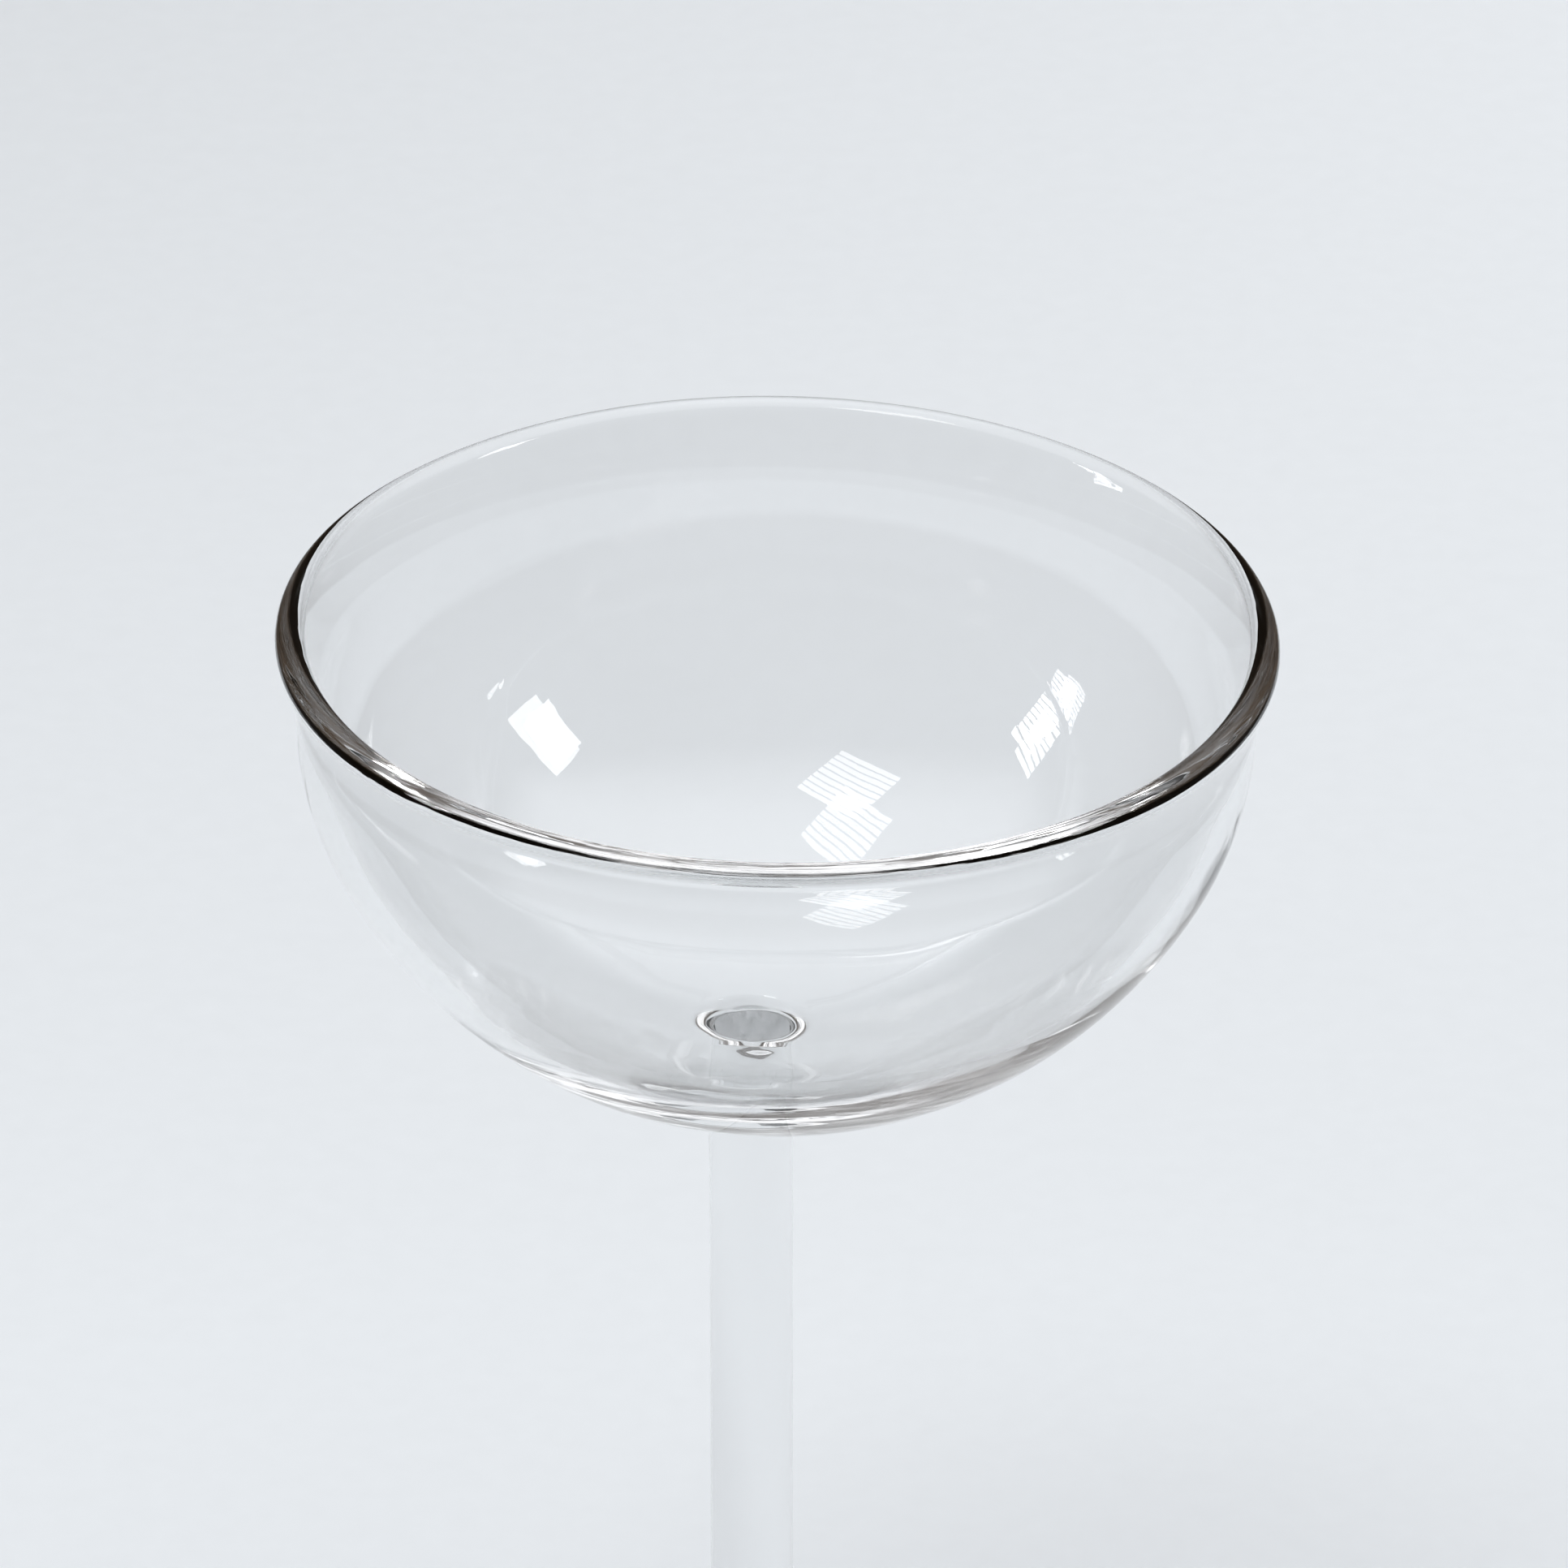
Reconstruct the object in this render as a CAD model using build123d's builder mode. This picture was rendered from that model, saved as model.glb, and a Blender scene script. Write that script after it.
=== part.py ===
from build123d import *
from math import atan2, cos, degrees, radians, sin, sqrt, tan
import os

# Clear cocktail glass of the coupe kind, worked by hand over a flame from
# three pieces of borosilicate glass that are then welded together:
#   bowl  a blown hemisphere with a flared, fire-polished lip and a thick floor
#   stem  a solid drawn rod, flared at both ends where it is welded
#   foot  a flat disc with a crowned top and a rounded edge
# The frame is millimetres, +Z up. The origin is the centre of the foot's
# underside, on the stem's axis. The bowl sits a little off that axis and
# leans a little towards +X, as it was left by the hand that welded it.

# ---- driving dimensions -------------------------------------------------
# Bowl. Its centre is the centre of the circle that the lip's bead follows.
bowl_radius = 47.5  # outside of the hemisphere, and the lip's outer edge
bowl_wall = 2.3
bowl_centre_height = 148.0  # above the surface the glass stands on
bowl_offset = 2.6  # bowl's centre from the stem's axis, along +X
bowl_lean = 0.95  # degrees that the bowl's axis leans towards +X
shoulder_drop = 26.0  # degrees below the centre where the wall turns upright
neck_radius = 45.6  # outside of the upright wall, under the lip
lip_radius = 1.5  # bead that fire polishing leaves on the rim
outer_flare = 15.0  # hollow curve from the neck out to the bead, outside
inner_flare = 16.0  # rounded curve from the neck out to the bead, inside
floor_thickness = 5.0  # at the middle of the bowl, where the stem meets it
floor_spread = 56.0  # degrees from the bowl's axis where the floor thickens

# Stem
stem_radius = 4.1
upper_weld_fillet = 3.0  # rod into the outside of the bowl
lower_weld_fillet = 8.0  # rod into the top of the foot

# Foot
foot_radius = 37.0
foot_edge_thickness = 2.6
foot_middle_thickness = 4.2
foot_crown_rise = 0.6  # bulge of the top's curve above a straight cone

# ---- worked out from them -----------------------------------------------
lean = radians(bowl_lean)
bowl_centre = Vector(bowl_offset, 0, bowl_centre_height)
bowl_axis = Vector(sin(lean), 0, cos(lean))
bowl_side = Vector(cos(lean), 0, -sin(lean))
bowl_section = Plane(
    origin=bowl_centre, x_dir=bowl_side, z_dir=bowl_side.cross(bowl_axis)
)
seat_radius = stem_radius + lower_weld_fillet  # flat where stem meets foot


def on_circle(centre, radius, angle):
    """The point of a circle at an angle in degrees, counted from +X."""
    turn = radians(angle)
    return (centre[0] + radius * cos(turn), centre[1] + radius * sin(turn))


def arc(centre, radius, start, end):
    """An arc of a circle between two angles in degrees."""
    ThreePointArc(
        on_circle(centre, radius, start),
        on_circle(centre, radius, (start + end) / 2),
        on_circle(centre, radius, end),
    )


# ---- bowl ---------------------------------------------------------------
# Half of the bowl's section, in the plane through its axis: u runs out from
# the axis and v along it, with v = 0 at the bead's centre.
inner_radius = bowl_radius - bowl_wall
inner_neck = neck_radius - bowl_wall
bead_centre = (bowl_radius - lip_radius, 0)
straight_down = -90.0  # angle of the lowest point of a circle
straight_up = 90.0
leftward = 180.0  # angle of the point of a circle nearest the bowl's axis


def shoulder(radius, neck):
    """Centre and radius of the arc that turns the round wall upright. It
    leaves the sphere shoulder_drop below its centre, and ends at the neck."""
    drop = radians(shoulder_drop)
    bend = (neck - radius * cos(drop)) / (1 - cos(drop))
    return (neck - bend, (bend - radius) * sin(drop)), bend


outer_turn, outer_bend = shoulder(bowl_radius, neck_radius)
inner_turn, inner_bend = shoulder(inner_radius, inner_neck)

# The outer flare's circle lies outside the wall and touches the bead's circle
# from outside. The inner flare's circle has the bead's circle inside it.
outer_across = neck_radius + outer_flare - bead_centre[0]
outer_down = sqrt((outer_flare + lip_radius) ** 2 - outer_across**2)
outer_hollow = (neck_radius + outer_flare, -outer_down)
outer_meet = degrees(atan2(-outer_down, outer_across))
inner_across = inner_neck + inner_flare - bead_centre[0]
inner_down = sqrt((inner_flare - lip_radius) ** 2 - inner_across**2)
inner_round = (inner_neck + inner_flare, -inner_down)
inner_meet = degrees(atan2(inner_down, -inner_across))

# The floor's curve leaves the inner wall where floor_spread says and is level
# on the axis.
floor_edge = straight_down + floor_spread
floor_start = on_circle((0, 0), inner_radius, floor_edge)
floor_level = floor_thickness - bowl_radius
floor_reach = (floor_start[1] - floor_level) / tan(radians(floor_spread))
floor_knee = (floor_start[0] - floor_reach, floor_level)

with BuildPart() as bowl:
    with BuildSketch(bowl_section):
        with BuildLine():
            # outside, from the lowest point up over the bead
            arc((0, 0), bowl_radius, straight_down, -shoulder_drop)
            arc(outer_turn, outer_bend, -shoulder_drop, 0)
            Line((neck_radius, outer_turn[1]), (neck_radius, -outer_down))
            arc(outer_hollow, outer_flare, leftward, outer_meet + leftward)
            arc(bead_centre, lip_radius, outer_meet, inner_meet)
            # inside, from the bead down to the floor
            arc(inner_round, inner_flare, inner_meet, leftward)
            Line((inner_neck, -inner_down), (inner_neck, inner_turn[1]))
            arc(inner_turn, inner_bend, 0, -shoulder_drop)
            arc((0, 0), inner_radius, -shoulder_drop, floor_edge)
            Bezier(floor_start, floor_knee, (0, floor_level))
            Line((0, floor_level), (0, -bowl_radius))
        make_face()
    revolve(axis=Axis(bowl_centre, bowl_axis))
bowl.part.label = "bowl"

# ---- stem ---------------------------------------------------------------
# The rod runs up into a ball of the bowl's outside and is filleted to it.
# The ball is then taken away, which leaves the weld's face on the flare.
# The lower flare is the same kind of fillet, down to a flat seat.
flare_top = foot_middle_thickness + lower_weld_fillet
rod_top = bowl_centre_height - bowl_radius / 2  # well inside the ball

with BuildPart() as stem:
    with BuildSketch(Plane.XY.offset(flare_top)):
        Circle(stem_radius)
    extrude(amount=rod_top - flare_top)
    with Locations(bowl_centre):
        Sphere(bowl_radius)
    fillet(stem.edges().filter_by(GeomType.BSPLINE), radius=upper_weld_fillet)
    with Locations(bowl_centre):
        Sphere(bowl_radius, mode=Mode.SUBTRACT)
    with BuildSketch(Plane.XZ):
        with BuildLine():
            Polyline(
                (stem_radius, flare_top),
                (0, flare_top),
                (0, foot_middle_thickness),
                (seat_radius, foot_middle_thickness),
            )
            RadiusArc(
                (seat_radius, foot_middle_thickness),
                (stem_radius, flare_top),
                lower_weld_fillet,
            )
        make_face()
    revolve(axis=Axis.Z)
stem.part.label = "stem"

# ---- foot ---------------------------------------------------------------
# Flat underneath, with a level seat for the stem in the middle of the top.
# From the seat the top falls in one shallow curve to the rounded edge.
edge_radius = foot_edge_thickness / 2
edge_centre = (foot_radius - edge_radius, edge_radius)
crown_middle = (
    (seat_radius + edge_centre[0]) / 2,
    (foot_middle_thickness + foot_edge_thickness) / 2 + foot_crown_rise,
)

with BuildPart() as foot:
    with BuildSketch(Plane.XZ):
        with BuildLine():
            Polyline(
                (edge_centre[0], 0),
                (0, 0),
                (0, foot_middle_thickness),
                (seat_radius, foot_middle_thickness),
            )
            Bezier(
                (seat_radius, foot_middle_thickness),
                crown_middle,
                (edge_centre[0], foot_edge_thickness),
            )
            arc(edge_centre, edge_radius, straight_up, straight_down)
        make_face()
    revolve(axis=Axis.Z)
foot.part.label = "foot"

# ---- files --------------------------------------------------------------
os.makedirs("parts", exist_ok=True)
export_step(bowl.part, "parts/bowl.step")
export_step(stem.part, "parts/stem.step")
export_step(foot.part, "parts/foot.step")
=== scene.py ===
import math

import bpy
import numpy as np
from mathutils import Matrix, Vector, noise


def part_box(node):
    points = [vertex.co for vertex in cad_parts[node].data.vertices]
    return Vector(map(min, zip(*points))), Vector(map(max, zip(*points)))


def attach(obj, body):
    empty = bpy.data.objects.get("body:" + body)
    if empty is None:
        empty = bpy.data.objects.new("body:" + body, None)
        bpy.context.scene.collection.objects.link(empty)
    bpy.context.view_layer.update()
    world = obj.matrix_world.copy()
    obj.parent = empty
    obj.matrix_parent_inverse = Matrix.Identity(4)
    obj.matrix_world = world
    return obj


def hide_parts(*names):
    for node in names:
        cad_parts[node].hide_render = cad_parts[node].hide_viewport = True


# The looks of a clear hand-worked cocktail glass. Its three pieces, bowl,
# stem and foot, are one unbroken skin of glass, as the welded object is, cut
# into closed meshes at the two welds. The weld faces inside the glass carry
# a material that light passes as if nothing were there.
# Everything is in metres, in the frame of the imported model.

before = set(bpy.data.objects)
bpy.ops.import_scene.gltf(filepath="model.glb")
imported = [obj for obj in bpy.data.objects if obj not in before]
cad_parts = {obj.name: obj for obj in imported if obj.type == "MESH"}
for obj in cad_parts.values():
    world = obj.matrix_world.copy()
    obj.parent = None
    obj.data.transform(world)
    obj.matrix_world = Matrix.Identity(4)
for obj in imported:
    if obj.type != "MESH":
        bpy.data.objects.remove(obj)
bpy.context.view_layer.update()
BODY = "root"

# ---- sizes ---------------------------------------------------------------
# From the frame.
bowl_low, bowl_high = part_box("bowl")
stem_low, stem_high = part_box("stem")
foot_low, foot_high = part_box("foot")
BOWL_RADIUS = (bowl_high[1] - bowl_low[1]) / 2
BOWL_CENTRE = Vector((bowl_low[0] + BOWL_RADIUS, 0, bowl_low[2] + BOWL_RADIUS))
FOOT_RADIUS = (foot_high[0] - foot_low[0]) / 2
FOOT_MIDDLE = foot_high[2]
SEAT_RADIUS = (stem_high[0] - stem_low[0]) / 2

# The rest of the section, as the CAD model has it.
BOWL_LEAN = math.radians(0.95)
WALL = 0.0023
SHOULDER = math.radians(26)  # how far below the bowl's centre the round part ends
NECK_RADIUS = 0.0456  # outside, under the flare of the lip
NECK_WALL = 0.0023
FLARE_OUTSIDE = 0.015  # radius of the flare's hollow outer side
FLARE_INSIDE = 0.016
LIP_RADIUS = 0.0015
FLOOR_THICKNESS = 0.0050
FLOOR_SPREAD = math.radians(56)  # from the bowl's axis, where the floor thickens
STEM_RADIUS = 0.0041
UPPER_FILLET = 0.0030
LOWER_FILLET = SEAT_RADIUS - STEM_RADIUS
FOOT_EDGE = 0.0026
FOOT_CROWN = 0.0006

# How many rings each stretch of the skin has, and points each ring.
AROUND = 256
FLOOR_RINGS = 40
INSIDE_RINGS = 45
OUTSIDE_RINGS = 90
SHOULDER_RINGS = 20
NECK_RINGS = 3
FLARE_RINGS = 16
BEAD_INSIDE_RINGS = 14
BEAD_OUTSIDE_RINGS = 24
FILLET_RINGS = 24
ROD_RINGS = 40
CROWN_RINGS = 40
EDGE_RINGS = 24
UNDERSIDE_RINGS = 30
UPPER_WELD_RINGS = 10
LOWER_WELD_RINGS = 8

# Below these angles from the bowl's centre line the bowl turns about its
# weld, and above them about its own axis.
WELD_SIDE = math.radians(15)
RIM_SIDE = math.radians(75)

# Traces of hand work. They only ever take glass away from the outside, so
# the skin stays inside the CAD model's box.
SKIN_LESS = 0.00001  # how far the skin is kept inside the CAD model's
INSIDE_SHIFT = 0.0010  # how far to the left the inside is off centre, low down
SHIFT_HEIGHTS = (-0.043, -0.022)  # from where it is whole to where it ends
RIM_FLAT = 0.0004  # how much flatter the rim's circle is at the back left
FLAT_TOWARDS = math.radians(132)
FLAT_SPREAD = math.radians(28)
FLAT_BELOW = 0.030  # how far below the rim the flattening ends
WALL_WAVE = 0.00006  # slow waves inside the bowl
WALL_WAVE_LENGTH = 0.013
OUTER_WAVE = 0.00003  # slow waves outside the bowl
OUTER_WAVE_LENGTH = 0.010
CALM_RIM = 0.006  # how far below the rim the waves begin
CALM_FLOOR = (0.008, 0.020)  # from the stem's axis, where they begin inside
WELD_RIPPLE = 0.00006  # ripples that the flame left round the upper weld
RIPPLE_LENGTH = 0.0045
RIPPLE_RADIUS = 0.0125  # of the ring of ripples, from the stem's axis
RIPPLE_SPREAD = 0.0025
RIPPLE_TOP = -0.03  # they are lower than this, from the bowl's centre
FADE_RINGS = 14  # how many rings below the upper weld the traces end


# ---- the section as one line ---------------------------------------------
def arc(centre, radius, start, end, steps):
    """Points of an arc after its start, by angles in radians from +X."""
    turns = [start + (end - start) * (i + 1) / steps for i in range(steps)]
    return [
        (centre[0] + radius * math.cos(t), centre[1] + radius * math.sin(t))
        for t in turns
    ]


def bezier(points, steps):
    """Points of a Bezier curve of any degree after its start."""
    made = []
    for i in range(steps):
        t = (i + 1) / steps
        row = [Vector(p) for p in points]
        while len(row) > 1:
            row = [a.lerp(b, t) for a, b in zip(row, row[1:])]
        made.append(tuple(row[0]))
    return made


def upright(u, start, end):
    """Points of a neck's straight wall after its start, from v to v."""
    return [(u, start + (end - start) * (i + 1) / NECK_RINGS) for i in range(NECK_RINGS)]


def shoulder(radius, neck):
    """Centre and radius of the arc that turns the round wall upright: it
    leaves the sphere SHOULDER below its centre and ends upright at the neck."""
    bend = (neck - radius * math.cos(SHOULDER)) / (1 - math.cos(SHOULDER))
    return (neck - bend, (bend - radius) * math.sin(SHOULDER)), bend


def bowl_inside():
    """(u, v) from the middle of the floor up to the top of the bead's inner
    side, with v = 0 at the bead's centre and u out from the bowl's axis."""
    inner = BOWL_RADIUS - WALL
    bead = (BOWL_RADIUS - LIP_RADIUS, 0)
    neck = NECK_RADIUS - NECK_WALL
    turn, bend = shoulder(inner, neck)
    across = neck + FLARE_INSIDE - bead[0]
    down = math.sqrt((FLARE_INSIDE - LIP_RADIUS) ** 2 - across**2)
    flare = (neck + FLARE_INSIDE, -down)
    meet = math.atan2(down, -across)
    level = FLOOR_THICKNESS - BOWL_RADIUS
    rise = FLOOR_SPREAD - math.pi / 2
    start = (inner * math.cos(rise), inner * math.sin(rise))
    knee = (start[0] - (start[1] - level) / math.tan(FLOOR_SPREAD), level)
    line = [(0, level)]
    line += bezier([(0, level), knee, start], FLOOR_RINGS)
    line += arc((0, 0), inner, rise, -SHOULDER, INSIDE_RINGS)
    line += arc(turn, bend, -SHOULDER, 0, SHOULDER_RINGS)
    line += upright(neck, turn[1], -down)
    line += arc(flare, FLARE_INSIDE, math.pi, meet, FLARE_RINGS)
    line += arc(bead, LIP_RADIUS, meet, math.pi / 2, BEAD_INSIDE_RINGS)
    return line


WELD_ANGLE = math.asin((STEM_RADIUS + UPPER_FILLET) / (BOWL_RADIUS + UPPER_FILLET))


def bowl_outside():
    """(u, v) from the bead's top down the outside to the weld's ring."""
    bead = (BOWL_RADIUS - LIP_RADIUS, 0)
    across = NECK_RADIUS + FLARE_OUTSIDE - bead[0]
    down = math.sqrt((LIP_RADIUS + FLARE_OUTSIDE) ** 2 - across**2)
    meet = math.atan2(-down, across)
    hollow = (bead[0] + across, -down)
    turn, bend = shoulder(BOWL_RADIUS, NECK_RADIUS)
    line = arc(bead, LIP_RADIUS, math.pi / 2, meet, BEAD_OUTSIDE_RINGS)
    line += arc(hollow, FLARE_OUTSIDE, meet + math.pi, math.pi, FLARE_RINGS)
    line += upright(NECK_RADIUS, -down, turn[1])
    line += arc(turn, bend, 0, -SHOULDER, SHOULDER_RINGS)
    lowest = WELD_ANGLE - math.pi / 2
    line += arc((0, 0), BOWL_RADIUS, -SHOULDER, lowest, OUTSIDE_RINGS)
    return line


# ---- rings ---------------------------------------------------------------
TURNS = np.linspace(0, 2 * math.pi, AROUND, endpoint=False)
JOINT_TILT = math.asin(BOWL_CENTRE.x / BOWL_RADIUS)


def smooth(low, high, x):
    """0 below low, 1 above high and an even S between them."""
    t = min(max((x - low) / (high - low), 0), 1)
    return t * t * (3 - 2 * t)


def bell(x, middle, spread):
    """1 at the middle, falling smoothly to nothing on both sides of it."""
    return math.exp(-(((x - middle) / spread) ** 2))


def ring_about_bowl(u, v):
    """A ring of the bowl. Low down it turns about the line from the bowl's
    centre to the weld, and near the rim about the bowl's own axis."""
    reach = math.hypot(u, v)
    angle = math.atan2(u, -v)
    share = smooth(WELD_SIDE, RIM_SIDE, angle)
    tilt = JOINT_TILT + (BOWL_LEAN - JOINT_TILT) * share
    side = np.array((math.cos(tilt), 0, -math.sin(tilt)))
    axis = np.array((math.sin(tilt), 0, math.cos(tilt)))
    depth = np.array((0, 1, 0))
    out = np.outer(np.cos(TURNS), side) + np.outer(np.sin(TURNS), depth)
    low = np.array(BOWL_CENTRE) - reach * math.cos(angle) * axis
    return low + reach * math.sin(angle) * out


def ring_on_bowl(angle):
    """A ring on the bowl's outside, by its angle from the bowl's axis."""
    return ring_about_bowl(
        BOWL_RADIUS * math.sin(angle), -BOWL_RADIUS * math.cos(angle)
    )


def ring_about_stem(u, v):
    """A level ring about the stem's axis."""
    return np.stack(
        [u * np.cos(TURNS), u * np.sin(TURNS), np.full(AROUND, v)], axis=1
    )


def upper_flare():
    """Rings from the weld's ring on the bowl to the straight rod, each point
    on a cubic Bezier curve, and the height where the rod begins."""
    down_to = BOWL_CENTRE.z - math.sqrt(
        (BOWL_RADIUS + UPPER_FILLET) ** 2 - (STEM_RADIUS + UPPER_FILLET) ** 2
    )
    start = ring_on_bowl(WELD_ANGLE)
    step = 0.001  # radians down the bowl, to find which way its skin heads
    heading = (ring_on_bowl(WELD_ANGLE - step) - start) / (step * BOWL_RADIUS)
    end = ring_about_stem(STEM_RADIUS, down_to)
    turn = math.pi / 2 - WELD_ANGLE
    handle = 4 / 3 * math.tan(turn / 4) * UPPER_FILLET  # as for a round arc
    first = start + handle * heading
    last = end + np.array((0, 0, handle))
    rings = []
    for i in range(FILLET_RINGS):
        t = (i + 1) / FILLET_RINGS
        rings.append(
            (1 - t) ** 3 * start
            + 3 * t * (1 - t) ** 2 * first
            + 3 * t * t * (1 - t) * last
            + t**3 * end
        )
    return rings, down_to


def foot_line():
    """(u, v) from the stem's seat over the crown and edge to the underside."""
    edge = FOOT_EDGE / 2
    rim = FOOT_RADIUS - edge
    knee = ((SEAT_RADIUS + rim) / 2, (FOOT_MIDDLE + FOOT_EDGE) / 2 + FOOT_CROWN)
    line = bezier([(SEAT_RADIUS, FOOT_MIDDLE), knee, (rim, FOOT_EDGE)], CROWN_RINGS)
    line += arc((rim, edge), edge, math.pi / 2, -math.pi / 2, EDGE_RINGS)
    line += [
        (rim * (1 - (i + 1) / UNDERSIDE_RINGS), 0) for i in range(UNDERSIDE_RINGS)
    ]
    return line


def skin():
    """Every ring of the skin, from the bowl's floor to the foot's underside,
    and where along it the two welds are."""
    rings = [ring_about_bowl(u, v) for u, v in bowl_inside() + bowl_outside()]
    upper_weld = len(rings) - 1
    flare, rod_top = upper_flare()
    rings += flare
    rod_foot = FOOT_MIDDLE + LOWER_FILLET
    for i in range(ROD_RINGS):
        level = rod_top + (rod_foot - rod_top) * (i + 1) / ROD_RINGS
        rings.append(ring_about_stem(STEM_RADIUS, level))
    hollow = (SEAT_RADIUS, rod_foot)
    for u, v in arc(hollow, LOWER_FILLET, math.pi, 1.5 * math.pi, FILLET_RINGS):
        rings.append(ring_about_stem(u, v))
    lower_weld = len(rings) - 1
    rings += [ring_about_stem(u, v) for u, v in foot_line()]
    return np.array(rings), upper_weld, lower_weld


def normals_of(rings):
    """Outward unit normals of the skin, from its neighbours each way."""
    round_it = np.roll(rings, -1, axis=1) - np.roll(rings, 1, axis=1)
    along = np.empty_like(rings)
    along[1:-1] = rings[2:] - rings[:-2]
    along[0] = rings[1] - rings[0]
    along[-1] = rings[-1] - rings[-2]
    found = np.cross(round_it, along)
    length = np.linalg.norm(found, axis=2, keepdims=True)
    found = np.divide(found, length, out=np.zeros_like(found), where=length > 1e-18)
    for end, beside in ((0, 1), (-1, -2)):
        mean = found[beside].mean(axis=0)
        found[end] = mean / np.linalg.norm(mean)
    return -found


# ---- traces of hand work -------------------------------------------------
def waves(point, size, seed):
    """Smooth noise from -1 to 1, with waves about size long."""
    return noise.noise(Vector(point) / size + Vector((seed, 0.3 * seed, -seed)))


def inside_push(point, calm):
    """How far the waves of the bowl's inside move a point outwards."""
    calm *= smooth(*CALM_FLOOR, math.hypot(point[0], point[1]))
    return WALL_WAVE * calm * waves(point, WALL_WAVE_LENGTH, 3.0)


def outside_push(point, calm, low_down):
    """How far waves and ripples move a point of the outside outwards, which
    is never above nothing."""
    push = -OUTER_WAVE * calm * (1 + waves(point, OUTER_WAVE_LENGTH, 7.0))
    if low_down:
        near = bell(math.hypot(point[0], point[1]), RIPPLE_RADIUS, RIPPLE_SPREAD)
        push -= WELD_RIPPLE * near * (1 + waves(point, RIPPLE_LENGTH, 11.0)) / 2
    return push


def worked(rings, upper_weld, inside_count):
    """The skin with the small waves and ripples that flame work leaves."""
    normals = normals_of(rings)
    moved = rings.copy()
    centre = np.array(BOWL_CENTRE)
    for i in range(1, upper_weld + FADE_RINGS):
        fade = 1 - smooth(0, FADE_RINGS, i - upper_weld)
        for k in range(AROUND):
            point = rings[i][k]
            rel = point - centre
            push = -SKIN_LESS * fade
            aside = 0.0
            calm = 1 - smooth(-CALM_RIM, 0.0, rel[2])
            if i < inside_count:
                push += inside_push(point, calm)
                aside = INSIDE_SHIFT * (1 - smooth(*SHIFT_HEIGHTS, rel[2]))
            else:
                push += outside_push(point, calm * fade, rel[2] < RIPPLE_TOP)
            moved[i][k] = point + normals[i][k] * push
            moved[i][k][0] -= aside
            flat = bell(math.atan2(rel[1], rel[0]), FLAT_TOWARDS, FLAT_SPREAD)
            flat *= RIM_FLAT * smooth(-FLAT_BELOW, 0.0, rel[2])
            moved[i][k][:2] -= flat * rel[:2] / BOWL_RADIUS
    return moved


# ---- pieces --------------------------------------------------------------
def piece(name, rings, normals, caps, materials):
    """A closed mesh from rings of the skin. caps holds, for its first and
    last ring, the rings of a weld face from there to its middle, or None
    where the skin itself closes to a point."""
    points, bends, faces, slots = [], [], [], []

    def add_ring(ring, ring_normals, closes):
        if closes:
            points.append(ring.mean(axis=0))
            bends.append(ring_normals[0])
            return [len(points) - 1] * AROUND
        start = len(points)
        points.extend(ring)
        bends.extend(ring_normals)
        return list(range(start, start + AROUND))

    def join(one, two, slot):
        for k in range(AROUND):
            n = (k + 1) % AROUND
            corners = list(dict.fromkeys((one[k], two[k], two[n], one[n])))
            faces.append(corners)
            slots.append(slot)

    last = len(rings) - 1
    made = []
    for i, ring in enumerate(rings):
        closes = (i == 0 and caps[0] is None) or (i == last and caps[1] is None)
        made.append(add_ring(ring, normals[i], closes))
    for one, two in zip(made, made[1:]):
        join(one, two, 0)
    for end, cap in enumerate(caps):
        if cap is None:
            continue
        before = made[-end]
        for i, ring in enumerate(cap):
            now = add_ring(ring, normals[-end], i == len(cap) - 1)
            if end:
                join(before, now, 1)
            else:
                join(now, before, 1)
            before = now
    mesh = bpy.data.meshes.new(name)
    mesh.from_pydata([tuple(p) for p in points], [], faces)
    for material in materials:
        mesh.materials.append(material)
    mesh.polygons.foreach_set("material_index", slots)
    mesh.polygons.foreach_set("use_smooth", [True] * len(faces))
    mesh.update()
    mesh.normals_split_custom_set_from_vertices([tuple(b) for b in bends])
    made_object = bpy.data.objects.new(name, mesh)
    bpy.context.collection.objects.link(made_object)
    return made_object


def towards_middle(steps):
    """Falling shares from just below 1 to 0."""
    return [1 - (i + 1) / steps for i in range(steps)]


def upper_weld_face():
    """Rings of the upper weld's face, on the bowl's outside."""
    return [ring_on_bowl(WELD_ANGLE * s) for s in towards_middle(UPPER_WELD_RINGS)]


def lower_weld_face():
    """Rings of the lower weld's face, level on the foot."""
    shares = towards_middle(LOWER_WELD_RINGS)
    return [ring_about_stem(SEAT_RADIUS * s, FOOT_MIDDLE) for s in shares]


# ---- materials -----------------------------------------------------------
def new_material(name):
    """An empty node material with its output node."""
    material = bpy.data.materials.new(name)
    material.use_nodes = True
    tree = material.node_tree
    tree.nodes.clear()
    return material, tree, tree.nodes.new("ShaderNodeOutputMaterial")


def math_node(tree, operation, first, second):
    """A math node; each input is a socket to link or a number to set."""
    node = tree.nodes.new("ShaderNodeMath")
    node.operation = operation
    for socket, given in zip(node.inputs, (first, second)):
        if isinstance(given, (int, float)):
            socket.default_value = given
        else:
            tree.links.new(given, socket)
    return node.outputs[0]


def mix_node(tree, share, first, second):
    """A colour mix; each of first and second is a socket or a colour."""
    node = tree.nodes.new("ShaderNodeMix")
    node.data_type = "RGBA"
    tree.links.new(share, node.inputs[0])
    for socket, given in ((node.inputs[6], first), (node.inputs[7], second)):
        if isinstance(given, tuple):
            socket.default_value = (*given, 1)
        else:
            tree.links.new(given, socket)
    return node.outputs[2]


def noise_node(tree, where, scale, detail):
    """Smooth noise over the object's own coordinates."""
    node = tree.nodes.new("ShaderNodeTexNoise")
    node.inputs["Scale"].default_value = scale
    node.inputs["Detail"].default_value = detail
    tree.links.new(where, node.inputs["Vector"])
    return node.outputs[0]


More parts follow.
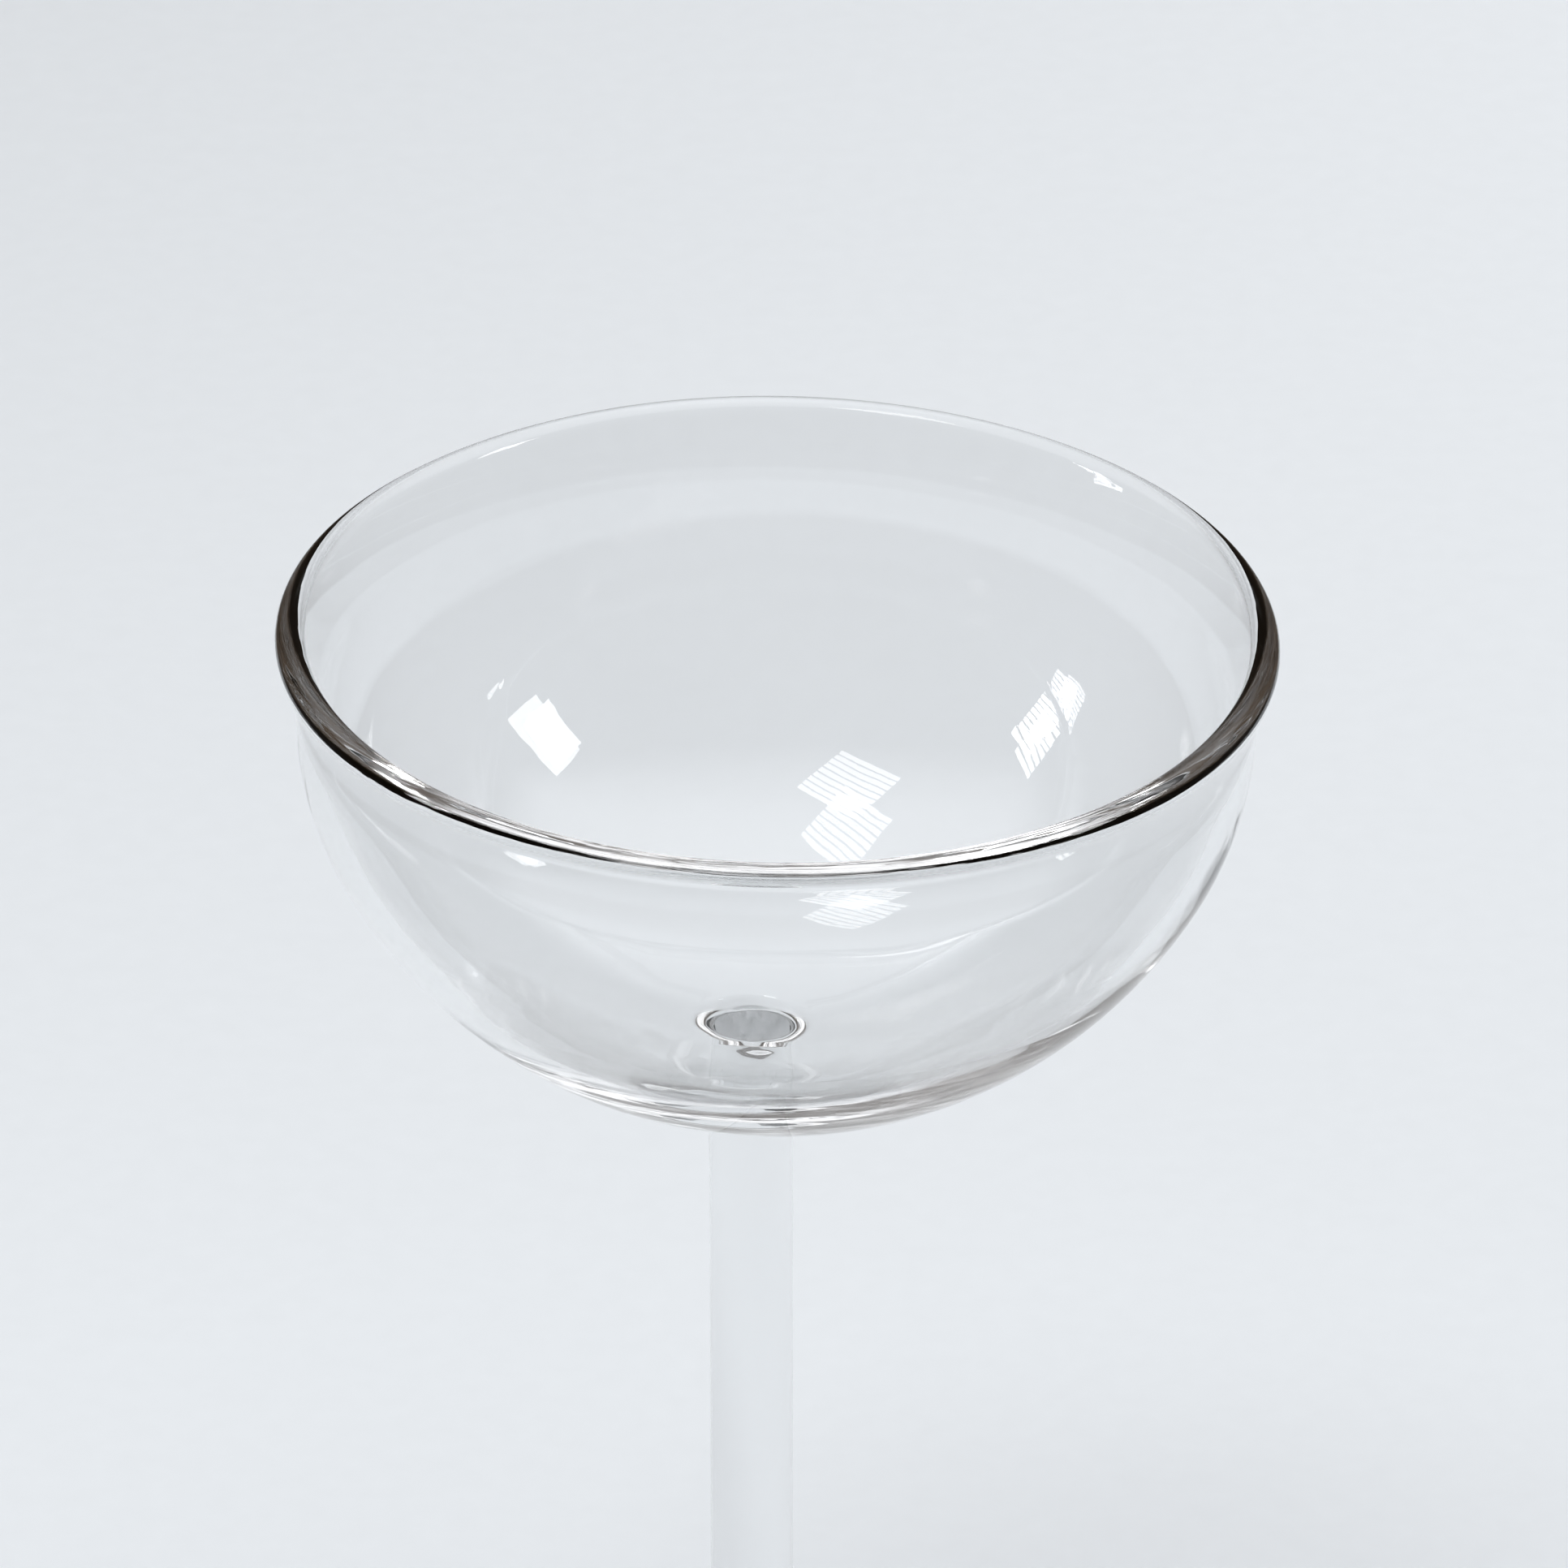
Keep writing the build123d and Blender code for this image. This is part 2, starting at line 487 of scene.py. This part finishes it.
def range_node(tree, value, low, high, to_low=0.0, to_high=1.0):
    """A value's range from low to high, brought to another range."""
    node = tree.nodes.new("ShaderNodeMapRange")
    node.inputs["From Min"].default_value = low
    node.inputs["From Max"].default_value = high
    node.inputs["To Min"].default_value = to_low
    node.inputs["To Max"].default_value = to_high
    tree.links.new(value, node.inputs["Value"])
    return node.outputs[0]


GLASS_IOR = 1.473  # borosilicate
GLASS_TINTS = ((0.955, 0.96, 0.962), (0.94, 0.946, 0.948))
SMEAR_ROUGHNESS = 0.018  # where a smear is strongest


def glass(name):
    """Clear borosilicate glass with an uneven tint, smears and fine waves."""
    material, tree, output = new_material(name)
    shader = tree.nodes.new("ShaderNodeBsdfPrincipled")
    shader.inputs["Transmission Weight"].default_value = 1.0
    shader.inputs["IOR"].default_value = GLASS_IOR
    where = tree.nodes.new("ShaderNodeTexCoord").outputs["Object"]
    smears = noise_node(tree, where, 45, 4)
    smears = range_node(tree, smears, 0.45, 0.75, 0.0, SMEAR_ROUGHNESS)
    tree.links.new(smears, shader.inputs["Roughness"])
    share = range_node(tree, noise_node(tree, where, 30, 2), 0.3, 0.7)
    tree.links.new(mix_node(tree, share, *GLASS_TINTS), shader.inputs["Base Color"])
    bump = tree.nodes.new("ShaderNodeBump")
    bump.inputs["Strength"].default_value = 0.02
    bump.inputs["Distance"].default_value = 0.001
    tree.links.new(noise_node(tree, where, 120, 2), bump.inputs["Height"])
    tree.links.new(bump.outputs[0], shader.inputs["Normal"])
    tree.links.new(shader.outputs[0], output.inputs["Surface"])
    return material


def weld():
    """The face inside a weld: the glass runs through it unbroken."""
    material, tree, output = new_material("weld")
    shader = tree.nodes.new("ShaderNodeBsdfTransparent")
    tree.links.new(shader.outputs[0], output.inputs["Surface"])
    return material


SHEET_MIDDLE = (0, 0.12, 0)
SHEET_RADIUS = 0.40
SHEET_EDGE = 0.04  # how softly the pale sheet ends
PAINTED_LIGHT_FRONT = 0.10  # where the painted light is as bright at the sheet's left as at its right
PAINTED_LIGHT_SLANT = 10.0  # how fast the painted light brightens the sheet towards the back right
# The sheet's two tones, mixed by painted light that brightens towards the back right and
# by a fine random speck.
SHEET_TONES = ((0.775, 0.815, 0.845), (0.905, 0.95, 0.985))
TABLE_BROWN = (0.045, 0.030, 0.020)


def table_top():
    """A pale, even, satin sheet on a dark brown table, with painted light that makes the
    sheet a little brighter towards its back right."""
    material, tree, output = new_material("table_top")
    shader = tree.nodes.new("ShaderNodeBsdfPrincipled")
    where = tree.nodes.new("ShaderNodeTexCoord").outputs["Object"]
    split = tree.nodes.new("ShaderNodeSeparateXYZ")
    tree.links.new(where, split.inputs[0])
    # Painted light: the sheet's colour is made paler towards its back right.
    behind = math_node(tree, "SUBTRACT", split.outputs["Y"], PAINTED_LIGHT_FRONT)
    painted_light = math_node(tree, "MULTIPLY", split.outputs["X"], behind)
    painted_light = math_node(tree, "MULTIPLY", painted_light, PAINTED_LIGHT_SLANT)
    speck = math_node(tree, "MULTIPLY", noise_node(tree, where, 300, 2), 0.2)
    share = math_node(tree, "ADD", painted_light, math_node(tree, "ADD", speck, 0.4))
    sheet = mix_node(tree, share, *SHEET_TONES)
    distance = tree.nodes.new("ShaderNodeVectorMath")
    distance.operation = "DISTANCE"
    distance.inputs[1].default_value = SHEET_MIDDLE
    tree.links.new(where, distance.inputs[0])
    away = distance.outputs["Value"]
    edge = range_node(tree, away, SHEET_RADIUS, SHEET_RADIUS + SHEET_EDGE)
    colour = mix_node(tree, edge, sheet, TABLE_BROWN)
    tree.links.new(colour, shader.inputs["Base Color"])
    satin = math_node(tree, "ADD", speck, 0.5)
    tree.links.new(satin, shader.inputs["Roughness"])
    tree.links.new(shader.outputs[0], output.inputs["Surface"])
    return material


# ---- the glass -----------------------------------------------------------
rings, upper_weld, lower_weld = skin()
rings = worked(rings, upper_weld, len(bowl_inside()))
normals = normals_of(rings)
weld_material = weld()
upper_face = upper_weld_face()
lower_face = lower_weld_face()

# each piece's node, its first and last ring, and its weld faces
PIECES = (
    ("bowl", 0, upper_weld, (None, upper_face)),
    ("stem", upper_weld, lower_weld, (upper_face, lower_face)),
    ("foot", lower_weld, len(rings) - 1, (lower_face, None)),
)
for node, first, last, caps in PIECES:
    name = node + "_glass"
    part = slice(first, last + 1)
    made = piece(name, rings[part], normals[part], caps, (glass(name), weld_material))
    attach(made, BODY)
    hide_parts(node)

# ---- floor ---------------------------------------------------------------
FLOOR_HALF = 4.0
FLOOR_GAP = 0.0002  # the film of air under the foot
floor_mesh = bpy.data.meshes.new("floor")
h, low = FLOOR_HALF, -FLOOR_GAP
floor_mesh.from_pydata(
    [(-h, -h, low), (h, -h, low), (h, h, low), (-h, h, low)], [], [(0, 1, 2, 3)]
)
floor_mesh.materials.append(table_top())
floor = bpy.data.objects.new("floor", floor_mesh)
bpy.context.collection.objects.link(floor)

# ---- light ---------------------------------------------------------------
WINDOW_DISTANCE = 1.5
BAR_SHARE = 0.75  # how much of each strip's pitch is bright


def towards(azimuth, elevation):
    """A unit vector; azimuth counts from +X towards +Y, both in degrees."""
    a, e = math.radians(azimuth), math.radians(elevation)
    return Vector((math.cos(a) * math.cos(e), math.sin(a) * math.cos(e), math.sin(e)))


def window(name, azimuth, elevation, wide, high, radiance, bars):
    """A bright window as strips of soft light. wide and high are degrees as
    seen from the bowl, and bars is how many strips it is divided into."""
    across = 2 * WINDOW_DISTANCE * math.tan(math.radians(wide / 2))
    up = 2 * WINDOW_DISTANCE * math.tan(math.radians(high / 2))
    heading = towards(azimuth, elevation)
    turn = heading.to_track_quat("Z", "Y")
    share = BAR_SHARE if bars > 1 else 1.0
    for i in range(bars):
        data = bpy.data.lights.new(f"{name}_{i}", "AREA")
        data.shape = "RECTANGLE"
        data.size = across
        data.size_y = up / bars * share
        data.energy = radiance * math.pi * data.size * data.size_y
        lamp = bpy.data.objects.new(f"{name}_{i}", data)
        lamp.rotation_mode = "QUATERNION"
        lamp.rotation_quaternion = turn
        offset = turn @ Vector((0, up * ((i + 0.5) / bars - 0.5), 0))
        lamp.location = BOWL_CENTRE + heading * WINDOW_DISTANCE + offset
        bpy.context.collection.objects.link(lamp)


window("window_right", -14, 31, 10, 14, 9.0, 1)
window("window_left", 186, 25, 8, 14, 12.0, 10)
window("ceiling_light", 222, 68, 16, 16, 6.5, 9)

# The room is dark brown low down and pale above, and its dark part reaches
# higher behind the camera than it does beyond the glass.
ROOM_SLANT = 0.75
ROOM_LIGHT = 2.15
ROOM = (
    (0.48, (0.035, 0.026, 0.019)),
    (0.64, (0.55, 0.55, 0.56)),
    (1.00, (0.80, 0.80, 0.81)),
)


def room():
    """The world's light, by height over the horizon."""
    world = bpy.data.worlds.new("room")
    world.use_nodes = True
    tree = world.node_tree
    tree.nodes.clear()
    output = tree.nodes.new("ShaderNodeOutputWorld")
    background = tree.nodes.new("ShaderNodeBackground")
    background.inputs["Strength"].default_value = ROOM_LIGHT
    tree.links.new(background.outputs[0], output.inputs[0])
    where = tree.nodes.new("ShaderNodeTexCoord")
    split = tree.nodes.new("ShaderNodeSeparateXYZ")
    tree.links.new(where.outputs["Generated"], split.inputs[0])
    nearer = math_node(tree, "MINIMUM", split.outputs["Y"], 0.0)
    nearer = math_node(tree, "MULTIPLY", nearer, ROOM_SLANT)
    height = math_node(tree, "ADD", split.outputs["Z"], nearer)
    ramp = tree.nodes.new("ShaderNodeValToRGB")
    tree.links.new(height, ramp.inputs[0])
    tree.links.new(ramp.outputs[0], background.inputs["Color"])
    elements = ramp.color_ramp.elements
    while len(elements) < len(ROOM):
        elements.new(1.0)
    for element, (position, colour) in zip(elements, ROOM):
        element.position = position
        element.color = (*colour, 1)
    return world


scene = bpy.context.scene
scene.world = room()

# ---- camera --------------------------------------------------------------
CAMERA_DISTANCE = 0.911  # from the centre of the rim
CAMERA_ELEVATION = math.radians(28.7)
CAMERA_DIP = math.radians(0.888)  # how far the middle of the view is below the rim
CAMERA_TURN = math.radians(-0.043)
back = Vector((0, -math.cos(CAMERA_ELEVATION), math.sin(CAMERA_ELEVATION)))
pitch = CAMERA_ELEVATION + CAMERA_DIP
ahead = Vector((0, math.cos(pitch), -math.sin(pitch)))
camera_data = bpy.data.cameras.new("camera")
camera_data.sensor_width = 36
camera_data.lens = 221.2
camera_data.clip_start = 0.01
camera_data.clip_end = 50
camera = bpy.data.objects.new("camera", camera_data)
camera.location = BOWL_CENTRE + back * CAMERA_DISTANCE
camera.rotation_mode = "QUATERNION"
turned = Matrix.Rotation(CAMERA_TURN, 4, "Z").to_quaternion()
camera.rotation_quaternion = turned @ ahead.to_track_quat("-Z", "Y")
bpy.context.collection.objects.link(camera)
scene.camera = camera
scene.view_settings.view_transform = "Standard"
# light that the glass traps is followed until it leaves
scene.cycles.max_bounces = 32
scene.cycles.glossy_bounces = 32
scene.cycles.transmission_bounces = 32
scene.cycles.transparent_max_bounces = 24
scene.cycles.use_denoising = True
